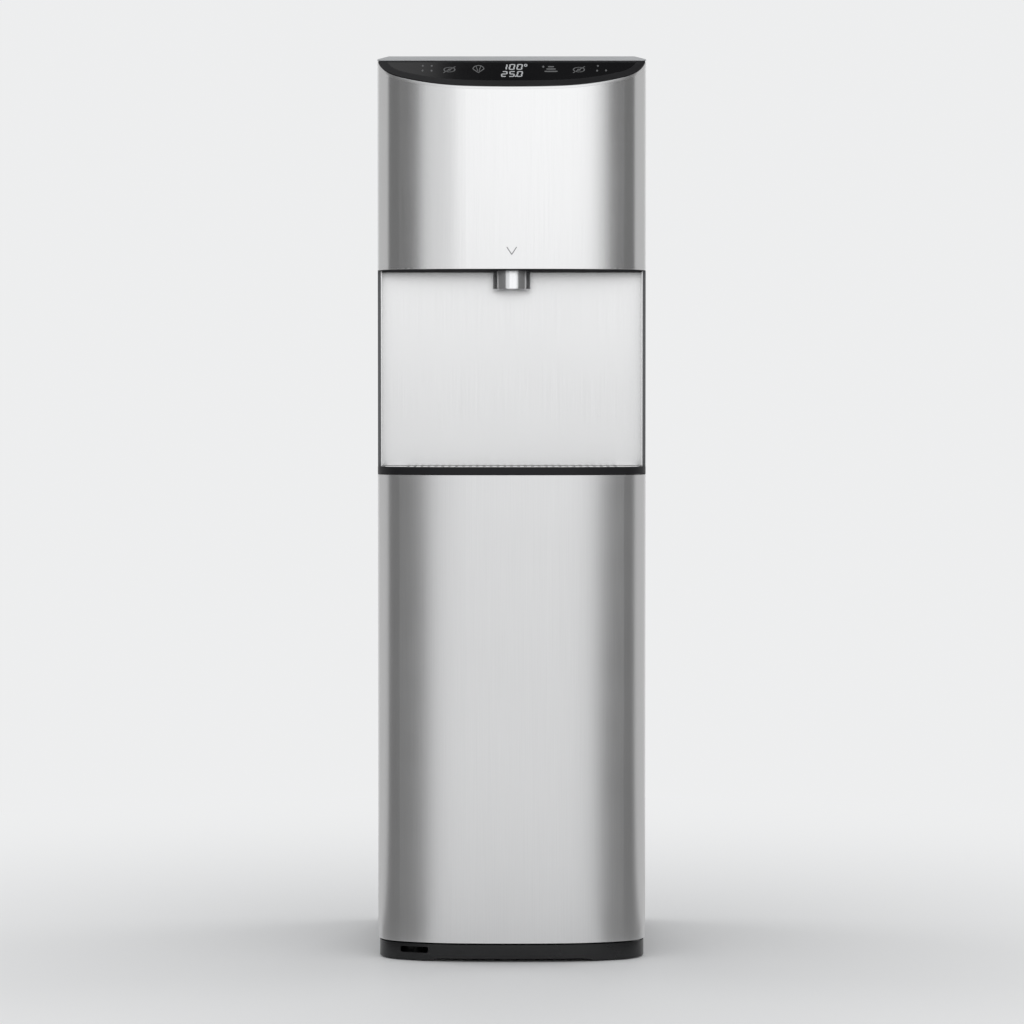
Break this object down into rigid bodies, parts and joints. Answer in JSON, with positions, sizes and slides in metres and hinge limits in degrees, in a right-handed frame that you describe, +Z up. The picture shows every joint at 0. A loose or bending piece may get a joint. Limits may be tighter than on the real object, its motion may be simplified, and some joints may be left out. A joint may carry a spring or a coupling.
{
  "type": "water dispenser",
  "caption": "Floor-standing bottom-loading water dispenser with a bowed stainless front, a hinged bottle door, an open dispensing recess with a drip tray, and a sloping touch panel.",
  "frame": {"origin": "on the floor, under the middle of the whole outline", "axes": "+Z up, the bowed front faces -Y, +X to the right of someone facing the front"},
  "size_m": [0.31, 0.38, 1.04],
  "materials": {
    "stainless": "upright brushed stainless, clear coated",
    "spout_chrome": "bright",
    "black_satin": "satin",
    "black_gloss": "gloss",
    "side_paint": "fine texture, satin",
    "cover_silver": "silver grey, satin",
    "zinc_sheet": "galvanised, dull",
    "hardware_steel": "zinc plated",
    "tank_steel": "drawn stainless",
    "black_enamel": "baked enamel, semi-gloss",
    "copper": "drawn copper",
    "rubber_black": "matt",
    "liner_grey": "fine spark texture",
    "white_plastic": "satin",
    "coil_wrap": "moulded",
    "foam": "closed-cell foam",
    "silicone": "milky, smooth",
    "board_green": "solder mask",
    "switch_red": "gloss",
    "switch_green": "gloss",
    "ferrite": "matt"
  },
  "bodies": {
    "cabinet": {"base_plinth": "black_satin", "bottle_tray": "liner_grey", "catch_plate": "hardware_steel", "cold_tank": "tank_steel", "cold_tank_foam": "foam", "cold_tube": "silicone", "compressor_base": "zinc_sheet", "compressor_grommets": "rubber_black", "compressor_guard": "zinc_sheet", "compressor_shell": "black_enamel", "condenser_brackets": "black_satin", "condenser_tube": "black_enamel", "condenser_wires": "black_enamel", "control_bezel": "black_satin", "control_lens": "black_gloss", "cord_gland": "rubber_black", "display_board": "board_green", "door_hinges": "hardware_steel", "drain_outlet": "white_plastic", "drain_tube": "silicone", "evaporator_coil": "copper", "feed_tube": "silicone", "filter_drier": "copper", "foot_pads": "rubber_black", "head_underplate": "black_satin", "heater_band": "tank_steel", "hot_tank": "tank_steel", "hot_tank_jacket": "foam", "hot_tube": "silicone", "left_side_panel": "side_paint", "mid_deck": "zinc_sheet", "power_board": "board_green", "probe_hanger": "liner_grey", "probe_hose": "silicone", "rear_lower_panel": "zinc_sheet", "rear_upper_panel": "zinc_sheet", "recess_panel": "stainless", "right_side_panel": "side_paint", "screws": "hardware_steel", "solenoid_coils": "coil_wrap", "spout_nozzle": "black_satin", "spout_sleeve": "spout_chrome", "suction_line": "copper", "switch_plate": "black_satin", "tank_shelf": "zinc_sheet", "top_cover": "cover_silver", "upper_front_carrier": "liner_grey", "upper_front_panel": "stainless", "valve_block": "white_plastic", "water_pump": "white_plastic"},
    "door": {"door_skin": "stainless", "door_liner": "liner_grey", "door_magnet": "ferrite"},
    "tray": {"drip_tray": "black_satin"},
    "grille": {"drip_grille": "stainless"},
    "probe": {"probe_tube": "tank_steel", "probe_cap": "white_plastic"},
    "hot_rocker": {"hot_switch": "switch_red"},
    "cold_rocker": {"cold_switch": "switch_green"},
    "drain_plug": {"drain_cap": "white_plastic"}
  },
  "joints": [
    {"name": "door_hinge", "type": "hinge", "parent": "cabinet", "child": "door", "pos_m": [0.144, -0.14, 0.29], "axis": [0, 0, 1], "range_deg": [0, 95]},
    {"name": "tray_slide", "type": "slide", "parent": "cabinet", "child": "tray", "axis": [0, -1, 0], "range_m": [0, 0.09]},
    {"name": "grille_lift", "type": "slide", "parent": "tray", "child": "grille", "axis": [0, 0, 1], "range_m": [0, 0.025]},
    {"name": "probe_unhook", "type": "slide", "parent": "cabinet", "child": "probe", "axis": [0, -1, 0], "range_m": [0, 0.06], "deforming": ["probe_hose"]},
    {"name": "hot_rock", "type": "hinge", "parent": "cabinet", "child": "hot_rocker", "pos_m": [-0.11, 0.149, 0.898], "axis": [1, 0, 0], "range_deg": [0, 14]},
    {"name": "cold_rock", "type": "hinge", "parent": "cabinet", "child": "cold_rocker", "pos_m": [-0.08, 0.149, 0.898], "axis": [1, 0, 0], "range_deg": [0, 14]},
    {"name": "drain_cap_pull", "type": "slide", "parent": "cabinet", "child": "drain_plug", "axis": [0, 1, 0], "range_m": [0, 0.03]}
  ]
}
